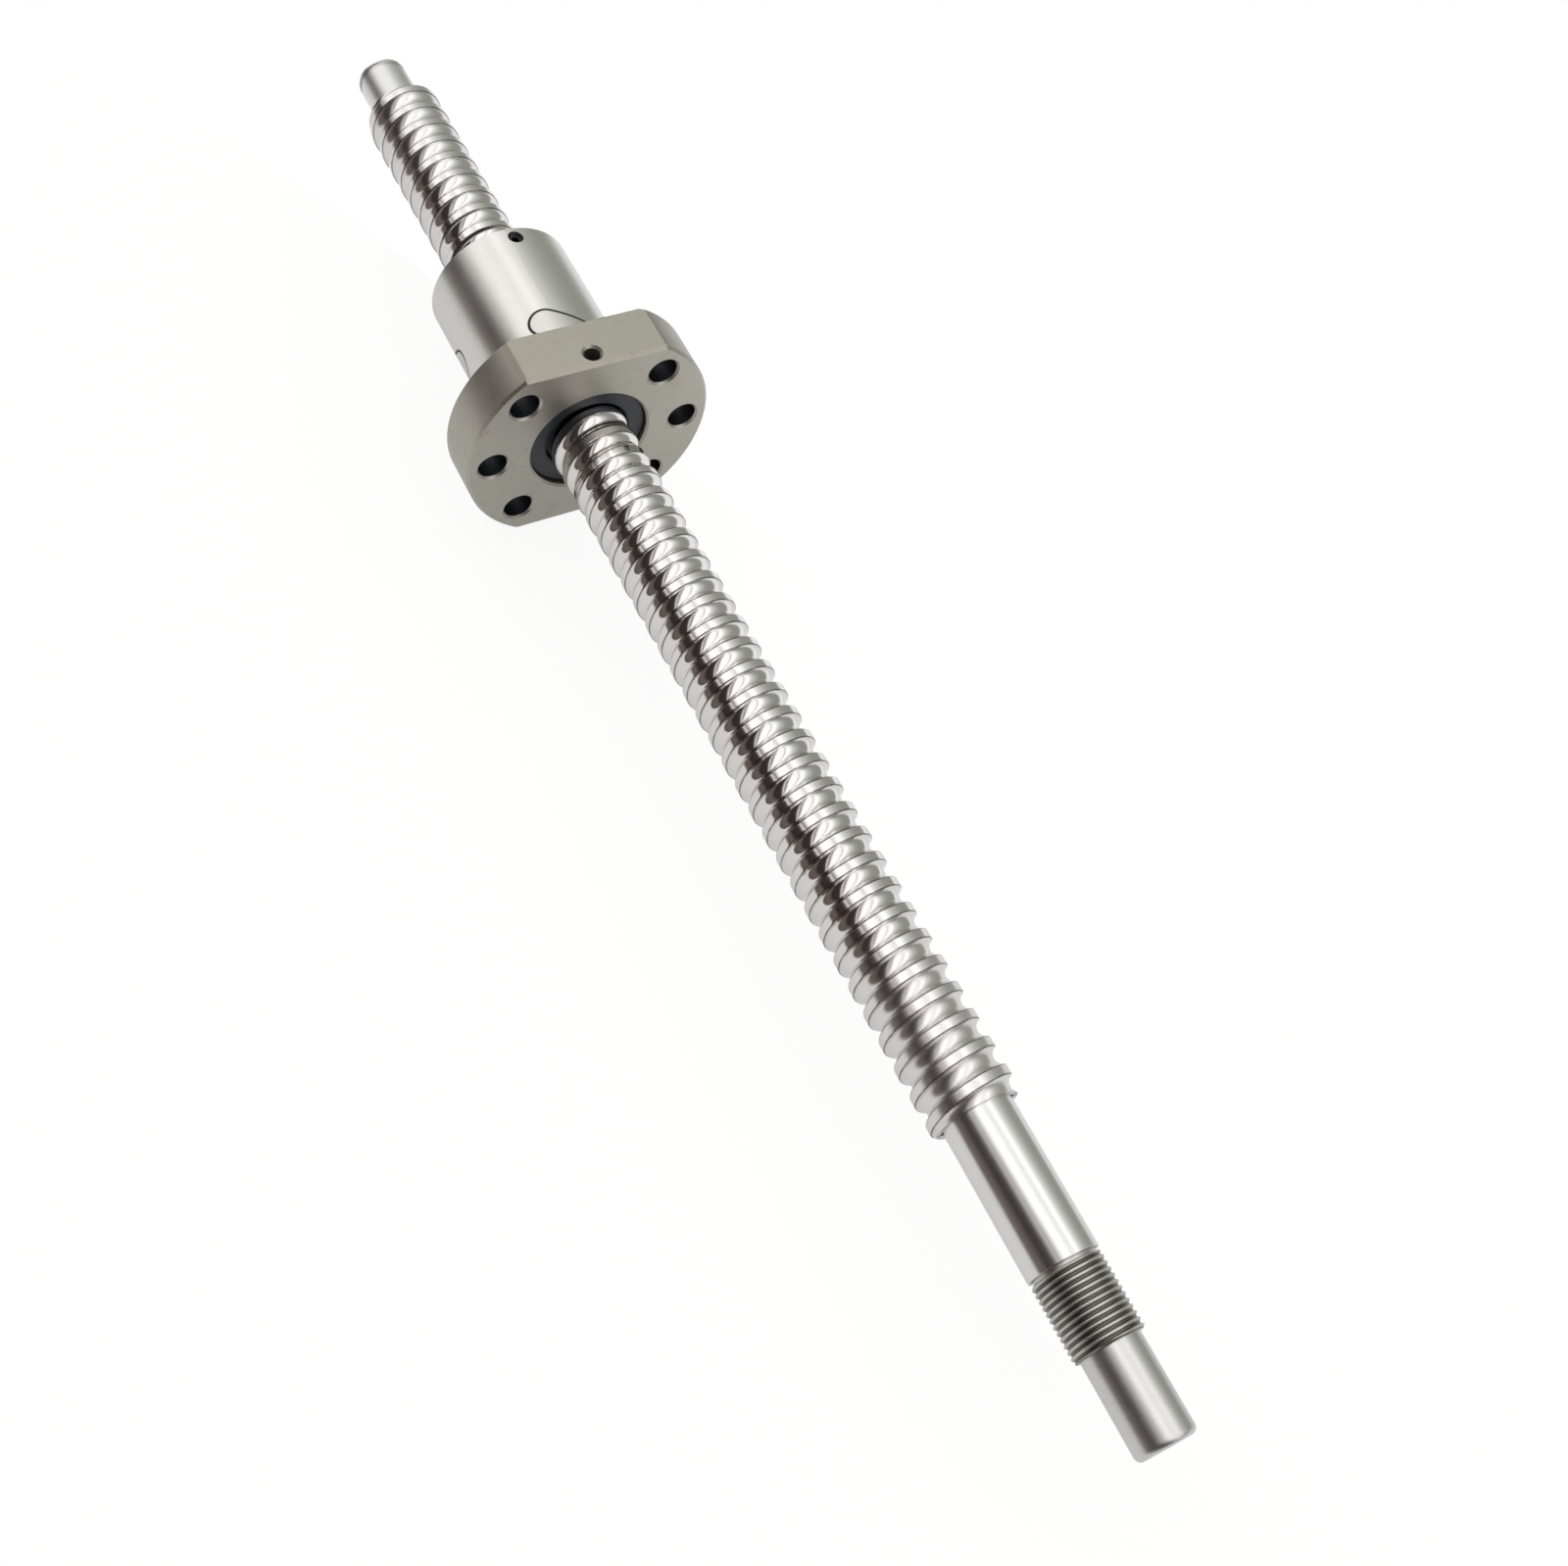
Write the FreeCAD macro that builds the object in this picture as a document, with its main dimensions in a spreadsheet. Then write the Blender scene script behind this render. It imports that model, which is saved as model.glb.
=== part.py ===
import FreeCAD, Part
import math
import os
import Sketcher

# Ball screw assembly: a ground screw shaft with a flanged nut of three one-turn ball circuits.
# The screw axis is X. The origin is on the axis, at the shoulder of the fixed bearing seat.
# +X runs out through the drive end, and +Z is square to the flats of the nut's flange.

Vector = FreeCAD.Vector

driving = [
    # threaded length
    ("thread_length", 235),
    ("screw_lead", 5),
    ("land_diameter", 15.6),
    ("ball_diameter", 3.175),
    ("ball_circle_diameter", 16.6),
    ("groove_radius", 1.7),
    ("groove_start", -1.5),
    ("thread_end_chamfer", 0.6),
    # fixed end: bearing seat, locknut thread and drive end
    ("bearing_seat_diameter", 12),
    ("bearing_seat_length", 25.5),
    ("locknut_pitch", 1),
    ("locknut_thread_diameter", 11.88),
    ("locknut_thread_depth", 0.6),
    ("locknut_thread_length", 13),
    ("locknut_relief_width", 0.6),
    ("locknut_relief_depth", 0.75),
    ("drive_end_diameter", 10),
    ("drive_end_length", 15.5),
    ("drive_end_chamfer", 0.9),
    # floating end with its circlip groove
    ("floating_seat_diameter", 10),
    ("floating_end_length", 11),
    ("floating_end_chamfer", 0.3),
    ("circlip_groove_distance", 9.15),
    ("circlip_groove_width", 1.15),
    ("circlip_groove_diameter", 9.6),
    # centre drillings of both ends
    ("centre_mouth_diameter", 3.2),
    ("centre_pilot_diameter", 1.6),
    ("centre_cone_depth", 1.4),
    ("centre_pilot_depth", 3.6),
    # nut
    ("nut_setback", 142.5),
    ("nut_length", 42),
    ("nut_body_diameter", 28),
    ("nut_bore_diameter", 17.2),
    ("nut_edge_chamfer", 0.5),
    ("flange_diameter", 48),
    ("flange_thickness", 10),
    ("flange_width_over_flats", 40),
    ("flange_flat_chamfer", 0.7),
    ("bolt_circle_diameter", 38),
    ("bolt_hole_diameter", 5.5),
    ("bolt_hole_spread", 45),
    ("bolt_hole_chamfer", 0.45),
    # wiper rings, their seats and their screws
    ("wiper_seat_diameter", 23.2),
    ("wiper_seat_chamfer", 0.4),
    ("wiper_recess", 1.2),
    ("wiper_width", 3.2),
    ("wiper_running_gap", 0.1),
    ("wiper_screw_gap", 0.3),
    ("wiper_lip_depth", 0.9),
    ("wiper_rim_groove_width", 1.6),
    ("wiper_rim_groove_depth", 0.8),
    ("wiper_screw_diameter", 2.9),
    ("wiper_screw_clearance", 0.04),
    ("wiper_screw_length", 1.5),
    ("wiper_screw_tip_diameter", 1.2),
    ("wiper_screw_socket_width", 1.3),
    ("wiper_screw_socket_depth", 0.8),
    ("wiper_hole_chamfer", 0.45),
    ("rear_wiper_hole_angle", 84),
    # ball returns
    ("return_count", 3),
    ("first_return_setback", 15.33),
    ("return_turns_apart", 1.3333333333),
    ("return_half_length", 3.9),
    ("return_half_width", 3),
    ("return_slant", 34),
    ("return_gap", 0.1),
    ("return_inner_diameter", 17.6),
    ("crossover_half_angle", 26),
    ("lift_half_angle", 40),
    ("crossover_lift", 1.25),
    ("crossover_channel_radius", 1.75),
    ("balls_per_circuit", 17),
]

doc = FreeCAD.newDocument("ball_screw")
sheet = doc.addObject("Spreadsheet::Sheet", "sizes")
for row, (alias, value) in enumerate(driving, 1):
    sheet.set(f"A{row}", alias)
    sheet.set(f"B{row}", str(value))
    sheet.setAlias(f"B{row}", alias)
doc.recompute()


def size(alias):
    return float(sheet.get(alias))


def bind(item, **formulas):
    for name, formula in formulas.items():
        item.setExpression(name, formula)
    return item


def placed(x, y="0", z="0", yaw="0", pitch="0", roll="0"):
    where = f"create(<<vector>>; {x}; {y}; {z})"
    turned = f"create(<<rotation>>; {yaw}; {pitch}; {roll})"
    return f"create(<<placement>>; {where}; {turned})"


def originFeature(body, role):
    return next(item for item in body.Origin.OriginFeatures if item.Role == role)


def turnedBody(label, corners):
    # a half section in the XZ plane, each corner as two formulas: along the axis and out from it
    body = doc.addObject("PartDesign::Body", label)
    section = body.newObject("Sketcher::SketchObject", label + "_section")
    section.AttachmentSupport = [(originFeature(body, "XZ_Plane"), "")]
    section.MapMode = "FlatFace"
    count = len(corners)
    turns = [2 * math.pi * k / count for k in range(count)]
    ring = [Vector(math.cos(turn), 10 + math.sin(turn)) for turn in turns]
    for k in range(count):
        section.addGeometry(Part.LineSegment(ring[k], ring[(k + 1) % count]), False)
    for k in range(count):
        section.addConstraint(Sketcher.Constraint("Coincident", k, 2, (k + 1) % count, 1))
    for k, (along, out) in enumerate(corners):
        for kind, start, formula in (("DistanceX", ring[k].x, along), ("DistanceY", ring[k].y, out)):
            number = section.addConstraint(Sketcher.Constraint(kind, -1, 1, k, 1, start))
            section.setExpression(f"Constraints[{number}]", formula)
    doc.recompute()
    turned = body.newObject("PartDesign::Revolution", label + "_turned")
    turned.Profile = section
    turned.ReferenceAxis = (originFeature(body, "X_Axis"), [""])
    turned.Angle = 360
    body.Tip = turned
    doc.recompute()
    return body


def cylinder(name, radius, height, placement):
    return bind(doc.addObject("Part::Cylinder", name), Radius=radius, Height=height, Placement=placement)


def cone(name, radius, far_radius, height, placement):
    made = doc.addObject("Part::Cone", name)
    return bind(made, Radius1=radius, Radius2=far_radius, Height=height, Placement=placement)


def cutFrom(name, base, tools):
    tool = tools[0]
    if len(tools) > 1:
        tool = doc.addObject("Part::MultiFuse", name + "_tools")
        tool.Shapes = tools
    cut = doc.addObject("Part::Cut", name)
    cut.Base = base
    cut.Tool = tool
    doc.recompute()
    return cut


def feature(name, shape):
    made = doc.addObject("Part::Feature", name)
    made.Shape = shape
    return made


def helixPipe(start, length, lead, radius, section):
    # a right-hand helix about X that starts under the axis; the section is a wire in its own radial plane
    path = Part.Wire(Part.makeLongHelix(lead, length, radius, 0, False).Edges)
    pipe = path.makePipeShell([section], True, True)
    pipe.Placement = FreeCAD.Placement(Vector(start, 0, 0), FreeCAD.Rotation(Vector(0, 1, 0), 90))
    return pipe


def grooveAlong(start_turn, turns):
    # the ball groove's own tube, over whole turns of the lead counted from groove_start
    lead = size("screw_lead")
    radius = size("ball_circle_diameter") / 2
    tangent = Vector(0, 2 * math.pi * radius, lead)
    circle = Part.makeCircle(size("groove_radius"), Vector(radius, 0, 0), tangent)
    start = size("groove_start") - lead / 4 + start_turn * lead
    return helixPipe(start, turns * lead, lead, radius, Part.Wire([circle]))


def locknutGroove():
    pitch = size("locknut_pitch")
    major = size("locknut_thread_diameter") / 2
    minor = major - size("locknut_thread_depth")
    outer = major + 0.05 * pitch
    root = pitch / 8
    mouth = root + (outer - minor) * math.tan(math.radians(30))
    corners = [(minor, -root), (minor, root), (outer, mouth), (outer, -mouth), (minor, -root)]
    section = Part.makePolygon([Vector(out, 0, along) for out, along in corners])
    start = size("bearing_seat_length") + pitch / 2
    return helixPipe(start, size("locknut_thread_length") + 2 * pitch, pitch, minor, section)


# Screw shaft

near = "sizes.bearing_seat_length"
thread_end = near + " + sizes.locknut_thread_length"
tip = thread_end + " + sizes.drive_end_length"
far = "-sizes.thread_length"
far_tip = far + " - sizes.floating_end_length"
circlip = far + " - sizes.circlip_groove_distance"
circlip_far = circlip + " - sizes.circlip_groove_width"
land = "sizes.land_diameter/2"
seat = "sizes.bearing_seat_diameter/2"
crest = "sizes.locknut_thread_diameter/2"
relief_floor = f"{crest} - sizes.locknut_relief_depth"
drive = "sizes.drive_end_diameter/2"
floating = "sizes.floating_seat_diameter/2"
circlip_floor = "sizes.circlip_groove_diameter/2"
mouth = "sizes.centre_mouth_diameter/2"
pilot = "sizes.centre_pilot_diameter/2"
edge = "sizes.thread_end_chamfer"

blank = turnedBody("shaft_blank", [
    (f"{far_tip} + sizes.centre_pilot_depth + {pilot}", "0"),
    (f"{far_tip} + sizes.centre_pilot_depth", pilot),
    (f"{far_tip} + sizes.centre_cone_depth", pilot),
    (far_tip, mouth),
    (far_tip, f"{floating} - sizes.floating_end_chamfer"),
    (f"{far_tip} + sizes.floating_end_chamfer", floating),
    (circlip_far, floating),
    (circlip_far, circlip_floor),
    (circlip, circlip_floor),
    (circlip, floating),
    (far, floating),
    (far, f"{land} - {edge}"),
    (f"{far} + {edge}", land),
    (f"-{edge}", land),
    ("0", f"{land} - {edge}"),
    ("0", seat),
    (near, seat),
    (near, relief_floor),
    (f"{near} + sizes.locknut_relief_width", relief_floor),
    (f"{near} + sizes.locknut_relief_width", crest),
    (f"{thread_end} - sizes.locknut_thread_depth", crest),
    (thread_end, f"{crest} - sizes.locknut_thread_depth"),
    (thread_end, drive),
    (f"{tip} - sizes.drive_end_chamfer", drive),
    (tip, f"{drive} - sizes.drive_end_chamfer"),
    (tip, mouth),
    (f"{tip} - sizes.centre_cone_depth", pilot),
    (f"{tip} - sizes.centre_pilot_depth", pilot),
    (f"{tip} - sizes.centre_pilot_depth - {pilot}", "0"),
])

screw_turns = math.ceil(size("thread_length") / size("screw_lead"))
ball_groove = feature("ball_groove", grooveAlong(-screw_turns - 1, screw_turns + 2))
locknut_groove = feature("locknut_groove", locknutGroove())
grooved = cutFrom("grooved_shaft", blank, [ball_groove])
screw_shaft = cutFrom("screw_shaft", grooved, [locknut_groove])

# Nut body

front = "-sizes.nut_setback"
rear = "-sizes.nut_setback - sizes.nut_length"
flange_rear = "-sizes.nut_setback - sizes.flange_thickness"
wiper_seat = "sizes.wiper_seat_diameter/2"
seat_mouth = f"{wiper_seat} + sizes.wiper_seat_chamfer"
seat_depth = "(sizes.wiper_recess + sizes.wiper_width + sizes.wiper_running_gap)"
bore = "sizes.nut_bore_diameter/2"
nut_radius = "sizes.nut_body_diameter/2"
flange = "sizes.flange_diameter/2"
nut_edge = "sizes.nut_edge_chamfer"

nut_blank = turnedBody("nut_blank", [
    (front, seat_mouth),
    (f"{front} - sizes.wiper_seat_chamfer", wiper_seat),
    (f"{front} - {seat_depth}", wiper_seat),
    (f"{front} - {seat_depth}", bore),
    (f"{rear} + {seat_depth}", bore),
    (f"{rear} + {seat_depth}", wiper_seat),
    (f"{rear} + sizes.wiper_seat_chamfer", wiper_seat),
    (rear, seat_mouth),
    (rear, f"{nut_radius} - {nut_edge}"),
    (f"{rear} + {nut_edge}", nut_radius),
    (flange_rear, nut_radius),
    (flange_rear, f"{flange} - {nut_edge}"),
    (f"{flange_rear} + {nut_edge}", flange),
    (f"{front} - {nut_edge}", flange),
    (front, f"{flange} - {nut_edge}"),
])


def flatTools():
    tools = []
    half = "sizes.flange_width_over_flats/2"
    depth = "sizes.flange_thickness"
    chamfer = "sizes.flange_flat_chamfer"
    across = "sizes.flange_diameter"
    for side, sign, back, roll in (("top", "", "-", "0"), ("bottom", "-", "", "180")):
        corner = f"{back}{across}/2"
        block = doc.addObject("Part::Box", side + "_flat")
        bind(block, Length=depth, Width=across, Height=half,
             Placement=placed(flange_rear, corner, sign + half, roll=roll))
        wedge = doc.addObject("Part::Box", side + "_flat_chamfer")
        bind(wedge, Length=f"2*{chamfer}", Width=across, Height=f"2*{chamfer}",
             Placement=placed(front, corner, f"{sign}({half} - {chamfer})", pitch=back + "45", roll=roll))
        tools += [block, wedge]
    return tools


def boltHoleTools():
    tools = []
    spread = "sizes.bolt_hole_spread"
    hole = "sizes.bolt_hole_diameter/2"
    chamfer = "sizes.bolt_hole_chamfer"
    angles = [f"{side} + {step}*{spread}" for side in ("0", "180") for step in ("-1", "0", "1")]
    for number, angle in enumerate(angles, 1):
        y = f"sizes.bolt_circle_diameter/2*cos({angle})"
        z = f"sizes.bolt_circle_diameter/2*sin({angle})"
        name = f"bolt_hole_{number}"
        tools.append(cylinder(name, hole, "sizes.flange_thickness", placed(flange_rear, y, z, pitch="90")))
        tools.append(cone(name + "_front_chamfer", f"{hole} + {chamfer}", hole, chamfer,
                          placed(front, y, z, pitch="-90")))
        tools.append(cone(name + "_rear_chamfer", f"{hole} + {chamfer}", hole, chamfer,
                          placed(flange_rear, y, z, pitch="90")))
    return tools


# where each wiper screw stands: along the axis, its angle about X from +Y, and the surface it starts at
wiper_centre = "(sizes.wiper_recess + sizes.wiper_width/2)"
wiper_screws = {
    "front": (f"{front} - {wiper_centre}", "90", "sizes.flange_width_over_flats/2"),
    "rear": (f"{rear} + {wiper_centre}", "sizes.rear_wiper_hole_angle", nut_radius),
}


def radial(x, angle, out):
    # a placement at a radius, with its own Z pointing outward
    return placed(x, f"({out})*cos({angle})", f"({out})*sin({angle})", roll=f"{angle} - 90")


def wiperHoleTools():
    tools = []
    hole = "(sizes.wiper_screw_diameter/2 + sizes.wiper_screw_clearance)"
    inner = f"{wiper_seat} - sizes.wiper_seat_chamfer"
    for end, (x, angle, surface) in wiper_screws.items():
        depth = f"{surface} + 1 - ({inner})"
        tools.append(cylinder(f"{end}_wiper_hole", hole, depth, radial(x, angle, inner)))
    x, angle, surface = wiper_screws["front"]
    chamfer = "sizes.wiper_hole_chamfer"
    tools.append(cone("front_wiper_hole_chamfer", hole, f"{hole} + {chamfer}", chamfer,
                      radial(x, angle, f"{surface} - {chamfer}")))
    return tools


# Ball returns: where each crossover lies, and the path that the balls follow round its circuit


def returnPlace(number):
    # the middle of a crossover lies on the land between two turns of the groove
    lead = size("screw_lead")
    x = -size("nut_setback") - size("first_return_setback") - number * size("return_turns_apart") * lead
    angle = 360 * ((x - size("groove_start")) / lead - 0.5) % 360
    return x, angle


def circuitPoint(number, turned):
    # turned runs from 0 to 360 degrees round the circuit, with the crossover's middle at 0
    lead = size("screw_lead")
    half = size("crossover_half_angle")
    x, angle = returnPlace(number)
    turned = (turned + 180) % 360 - 180
    radius = size("ball_circle_diameter") / 2
    if abs(turned) < half:
        x -= (lead / 2 - lead * half / 360) * math.sin(turned / half * math.pi / 2)
    else:
        x += lead * turned / 360 - math.copysign(lead / 2, turned)
    rising = size("lift_half_angle")
    if abs(turned) < rising:
        radius += size("crossover_lift") * math.cos(turned / rising * math.pi / 2) ** 2
    around = math.radians(angle + turned)
    return Vector(x, radius * math.cos(around), radius * math.sin(around))


def returnPrism(name, number, gap):
    # a slot-shaped block through the wall of the nut, slanted against the groove
    x, angle = returnPlace(number)
    half_length = "sizes.return_half_length"
    half_width = f"(sizes.return_half_width + {gap})"
    height = "(sizes.nut_body_diameter/2 + sizes.return_gap)"
    block = doc.addObject("Part::Box", name + "_block")
    bind(block, Length=f"2*{half_length}", Width=f"2*{half_width}", Height=height,
         Placement=placed("-" + half_length, "-" + half_width))
    first = cylinder(name + "_first_end", half_width, height, placed("-" + half_length))
    second = cylinder(name + "_second_end", half_width, height, placed(half_length))
    prism = doc.addObject("Part::MultiFuse", name)
    prism.Shapes = [block, first, second]
    doc.recompute()
    slant = FreeCAD.Rotation(Vector(0, 0, 1), 90 - size("return_slant"))
    around = FreeCAD.Rotation(Vector(1, 0, 0), angle - 90)
    prism.Placement = FreeCAD.Placement(Vector(x, 0, 0), around * slant)
    return prism


def crossoverChannel(number):
    # the tunnel through a deflector, run a little way into the groove at both ends
    angles = [size("lift_half_angle") * step / 8 for step in range(-12, 13)]
    curve = Part.BSplineCurve()
    curve.interpolate([circuitPoint(number, angle) for angle in angles])
    path = Part.Wire([arc.toShape() for arc in curve.toBiArcs(0.03)])
    start = path.Edges[0].valueAt(path.Edges[0].FirstParameter)
    along = path.Edges[0].tangentAt(path.Edges[0].FirstParameter)
    section = Part.Wire([Part.makeCircle(size("crossover_channel_radius"), start, along)])
    return path.makePipeShell([section], True, False)


numbers = range(int(size("return_count")))
windows = [returnPrism(f"return_window_{k + 1}", k, "sizes.return_gap") for k in numbers]
nut_setback_turns = math.ceil((size("nut_setback") + size("nut_length")) / size("screw_lead")) + 1
nut_turns = math.ceil(size("nut_length") / size("screw_lead")) + 2
nut_groove = feature("nut_groove", grooveAlong(-nut_setback_turns, nut_turns))
nut_drilled = cutFrom("nut_drilled", nut_blank, flatTools() + boltHoleTools() + wiperHoleTools())
nut_windowed = cutFrom("nut_windowed", nut_drilled, windows)
nut_body = cutFrom("nut_body", nut_windowed, [nut_groove])


def deflector(number):
    name = f"return_deflector_{number + 1}"
    prism = returnPrism(name + "_prism", number, "0")
    along_nut = placed(rear, pitch="90")
    outer = cylinder(name + "_outer", nut_radius, "sizes.nut_length", along_nut)
    inner = cylinder(name + "_inner", "sizes.return_inner_diameter/2", "sizes.nut_length", along_nut)
    shell = cutFrom(name + "_shell", outer, [inner])
    block = doc.addObject("Part::Common", name + "_block_in_wall")
    block.Base = shell
    block.Tool = prism
    doc.recompute()
    channel = feature(name + "_channel", crossoverChannel(number))
    return cutFrom(name, block, [channel])


def ballCircuit(number):
    # balls spread evenly along the closed path: its length is summed over short steps
    steps = 1440
    points = [circuitPoint(number, 360 * k / steps) for k in range(steps + 1)]
    reached = [0.0]
    for k in range(steps):
        reached.append(reached[-1] + points[k].distanceToPoint(points[k + 1]))
    count = int(size("balls_per_circuit"))
    balls = []
    for k in range(count):
        wanted = reached[-1] * k / count
        step = next(n for n in range(steps + 1) if reached[n] >= wanted)
        balls.append(Part.makeSphere(size("ball_diameter") / 2, points[step]))
    return feature(f"ball_circuit_{number + 1}", Part.makeCompound(balls))


deflectors = [deflector(k) for k in numbers]
circuits = [ballCircuit(k) for k in numbers]


# Wiper rings and their screws


def wiperRing(end, face, inward):
    # a ring with a thin inner lip and a groove round its rim; inward is + or - towards the nut's middle
    rim = f"({wiper_seat} - sizes.wiper_running_gap)"
    hole = f"({land} + sizes.wiper_screw_gap)"
    groove_half = "sizes.wiper_rim_groove_width/2"
    groove_floor = f"{rim} - sizes.wiper_rim_groove_depth"
    outer_face = f"{face} {inward} sizes.wiper_recess"
    middle = f"{outer_face} {inward} sizes.wiper_width/2"
    inner_face = f"{outer_face} {inward} sizes.wiper_width"
    back = "-" if inward == "+" else "+"
    return turnedBody(f"wiper_{end}", [
        (outer_face, f"{rim} - 0.2"),
        (f"{outer_face} {inward} 0.2", rim),
        (f"{middle} {back} {groove_half}", rim),
        (f"{middle} {back} {groove_half}", groove_floor),
        (f"{middle} {inward} {groove_half}", groove_floor),
        (f"{middle} {inward} {groove_half}", rim),
        (inner_face, rim),
        (inner_face, f"{hole} + sizes.wiper_lip_depth"),
        (f"{middle}", hole),
        (f"{outer_face} {inward} 0.3", hole),
        (outer_face, f"{hole} + 0.3"),
    ])


def wiperScrew(end):
    # a grub screw whose tip stands in the wiper's rim groove
    x, angle, surface = wiper_screws[end]
    name = f"wiper_screw_{end}"
    start = f"{wiper_seat} + 0.2"
    tip_length = "(0.2 + sizes.wiper_running_gap + sizes.wiper_rim_groove_depth/2)"
    stem = cylinder(name + "_stem", "sizes.wiper_screw_diameter/2", "sizes.wiper_screw_length",
                    radial(x, angle, start))
    point = cylinder(name + "_point", "sizes.wiper_screw_tip_diameter/2", tip_length,
                     radial(x, angle, f"{start} - {tip_length}"))
    whole = doc.addObject("Part::Fuse", name + "_whole")
    whole.Base = stem
    whole.Tool = point
    socket = doc.addObject("Part::Prism", name + "_socket")
    socket.Polygon = 6
    depth = "sizes.wiper_screw_socket_depth"
    bind(socket, Circumradius="sizes.wiper_screw_socket_width/2/cos(30)", Height=depth,
         Placement=radial(x, angle, f"{start} + sizes.wiper_screw_length - {depth}"))
    return cutFrom(name, whole, [socket])


wipers = [wiperRing("front", front, "-"), wiperRing("rear", rear, "+")]
screws = [wiperScrew("front"), wiperScrew("rear")]

pieces = [screw_shaft, nut_body] + deflectors + circuits + wipers + screws
doc.recompute()
for item in doc.Objects:
    if "Invalid" in item.State or "Error" in item.State:
        raise RuntimeError(f"{item.Label} failed: {item.State}")
for piece in pieces:
    if piece.Shape.isNull() or not piece.Shape.isValid():
        raise RuntimeError(f"{piece.Label} has no valid shape")
os.makedirs("parts", exist_ok=True)
for piece in pieces:
    piece.Shape.exportStep(f"parts/{piece.Label}.step")
    solids = len(piece.Shape.Solids)
    print(piece.Label, solids, "solids", round(piece.Shape.Volume, 2), "mm3")
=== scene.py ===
import math
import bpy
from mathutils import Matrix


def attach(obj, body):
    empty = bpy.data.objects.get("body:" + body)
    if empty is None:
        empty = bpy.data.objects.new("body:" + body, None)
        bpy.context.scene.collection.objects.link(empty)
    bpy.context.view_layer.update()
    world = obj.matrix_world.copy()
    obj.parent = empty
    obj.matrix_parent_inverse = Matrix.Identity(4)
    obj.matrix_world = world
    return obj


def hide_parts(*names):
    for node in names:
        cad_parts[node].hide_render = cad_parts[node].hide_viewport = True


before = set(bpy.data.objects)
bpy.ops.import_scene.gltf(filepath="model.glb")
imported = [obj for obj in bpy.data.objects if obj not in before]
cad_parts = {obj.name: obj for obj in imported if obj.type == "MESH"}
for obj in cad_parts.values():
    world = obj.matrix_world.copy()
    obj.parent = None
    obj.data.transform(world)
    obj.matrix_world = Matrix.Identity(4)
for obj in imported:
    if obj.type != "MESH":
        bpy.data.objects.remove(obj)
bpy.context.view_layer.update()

from types import SimpleNamespace

import bmesh
import bpy
from mathutils import Matrix, Vector

mm = 0.001
scene = bpy.context.scene
scene.view_settings.view_transform = "Standard"


# Shader helpers: sums on a socket add Math nodes, and every other node comes from add()

class Sock:
    def __init__(self, tree, socket=None):
        self.tree = tree
        self.socket = socket

    def add(self, kind, settings=None, sockets=None, out=0):
        node = self.tree.nodes.new("ShaderNode" + kind)
        for name, value in (settings or {}).items():
            if name == "stops":
                fillRamp(node.color_ramp, value)
            else:
                setattr(node, name, value)
        for name, value in (sockets or {}).items():
            if isinstance(value, Sock):
                self.tree.links.new(value.socket, node.inputs[name])
            else:
                node.inputs[name].default_value = value
        return Sock(self.tree, node.outputs[out])

    def calc(self, operation, first, second=0.0, third=0.0):
        return self.add("Math", {"operation": operation}, {0: first, 1: second, 2: third})

    def __add__(self, other):
        return self.calc("ADD", self, other)

    __radd__ = __add__

    def __sub__(self, other):
        return self.calc("SUBTRACT", self, other)

    def __rsub__(self, other):
        return self.calc("SUBTRACT", other, self)

    def __mul__(self, other):
        return self.calc("MULTIPLY", self, other)

    __rmul__ = __mul__

    def __truediv__(self, other):
        return self.calc("DIVIDE", self, other)

    def __pow__(self, other):
        return self.calc("POWER", self, other)

    def ramp(self, low, high):  # 0 below low, 1 above high, smooth between
        return self.add("MapRange", {"interpolation_type": "SMOOTHSTEP"},
                        {"Value": self, "From Min": low, "From Max": high})

    def blend(self, first, second):  # a colour mix, with this value as the factor
        return self.add("Mix", {"data_type": "RGBA"}, {0: self, 6: first, 7: second}, out=2)


def fillRamp(ramp, stops):
    while len(ramp.elements) > 1:
        ramp.elements.remove(ramp.elements[-1])
    ramp.elements[0].position, ramp.elements[0].color = stops[0][0], stops[0][1]
    for place, colour in stops[1:]:
        ramp.elements.new(place).color = colour


def rgb(red, green, blue):
    return (red, green, blue, 1.0)


def newMaterial(name):
    material = bpy.data.materials.new(name)
    material.use_nodes = True
    tree = material.node_tree
    shader = tree.nodes["Principled BSDF"]
    return material, Sock(tree), shader


def feed(graph, shader, **values):
    for name, value in values.items():
        socket = shader.inputs[name.replace("_", " ")]
        if isinstance(value, Sock):
            graph.tree.links.new(value.socket, socket)
        else:
            socket.default_value = value


def separate(graph, vector):
    return [graph.add("SeparateXYZ", None, {0: vector}, out=k) for k in range(3)]


def places(graph):  # the row frame's own coordinates in mm, and the radius and angle round the screw
    metres = graph.add("TexCoord", out="Object")
    point = graph.add("VectorMath", {"operation": "SCALE"}, {0: metres, "Scale": 1 / mm})
    x, y, z = separate(graph, point)
    radius = (y * y + z * z) ** 0.5
    return SimpleNamespace(point=point, x=x, y=y, z=z, radius=radius, angle=x.calc("ARCTAN2", y, z))


def roughness(values, **noises):  # where the finish starts, plus each noise times the value of its name
    total = values["rough"]
    for name, part in noises.items():
        total = part * values[name] + total
    return total


def noise(graph, vector, scale, detail=3.0, rough=0.55):
    return graph.add("TexNoise", {"noise_dimensions": "3D"},
                     {"Vector": vector, "Scale": scale, "Detail": detail, "Roughness": rough})


def lineNoise(graph, value, scale, detail=2.0):
    return graph.add("TexNoise", {"noise_dimensions": "1D"}, {"W": value, "Scale": scale, "Detail": detail})


def bump(graph, height, strength):
    return graph.add("Bump", None, {"Height": height, "Strength": strength, "Distance": bumpDepth})


# Camera and light

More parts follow.
